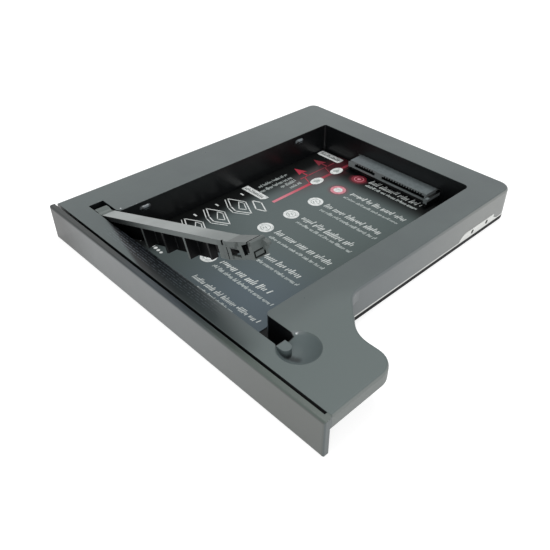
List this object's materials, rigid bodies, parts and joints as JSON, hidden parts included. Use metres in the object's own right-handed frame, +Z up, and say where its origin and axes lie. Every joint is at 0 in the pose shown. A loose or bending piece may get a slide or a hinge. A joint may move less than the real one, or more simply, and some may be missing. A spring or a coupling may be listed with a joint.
{
  "type": "laptop drive caddy",
  "caption": "Low plastic tray that holds a 2.5 inch drive in a laptop's drive bay, with a wide front bezel, a side wing and a hinged retaining lever.",
  "frame": {"origin": "middle of the footprint, on the surface that the base plate lies on", "axes": "+X along the bezel towards the wing and the lever's latch end, +Y back into the laptop's bay, +Z up"},
  "size_m": [0.128, 0.1284, 0.0399],
  "materials": {
    "tray_plastic": "satin grey paint outside, bare black inside",
    "bezel_plastic": "satin grey paint",
    "sheet_metal": "bright rolled sheet",
    "label_film": "smooth printed film",
    "lever_plastic": "satin grey paint on top, bare black below",
    "pin_steel": "ground",
    "connector_plastic": "moulded",
    "contact_metal": "gold plated",
    "lock_metal": "tinned",
    "board_laminate": "solder mask",
    "plug_plastic": "moulded",
    "capacitor_body": "ceramic",
    "resistor_body": "coated",
    "screw_steel": "plated"
  },
  "bodies": {
    "caddy": {"tray": "tray_plastic", "front_bezel": "bezel_plastic", "base_plate": "sheet_metal", "floor_label": "label_film", "lever_pin": "pin_steel", "drive_receptacle": "connector_plastic", "drive_signal_contacts": "contact_metal", "drive_power_contacts": "contact_metal", "receptacle_board_locks": "lock_metal", "adapter_board": "board_laminate", "rear_plug": "plug_plastic", "rear_signal_contacts": "contact_metal", "rear_power_contacts": "contact_metal", "plug_board_locks": "lock_metal", "board_capacitors": "capacitor_body", "board_resistors": "resistor_body", "board_screws": "screw_steel", "base_screws": "screw_steel"},
    "lever_arm": {"lever": "lever_plastic"}
  },
  "joints": [
    {"name": "lever_hinge", "type": "hinge", "parent": "caddy", "child": "lever_arm", "pos_m": [-0.0503, -0.05215, 0.0087], "axis": [0, -1, 0], "range_deg": [-19.1, 70.9]}
  ]
}
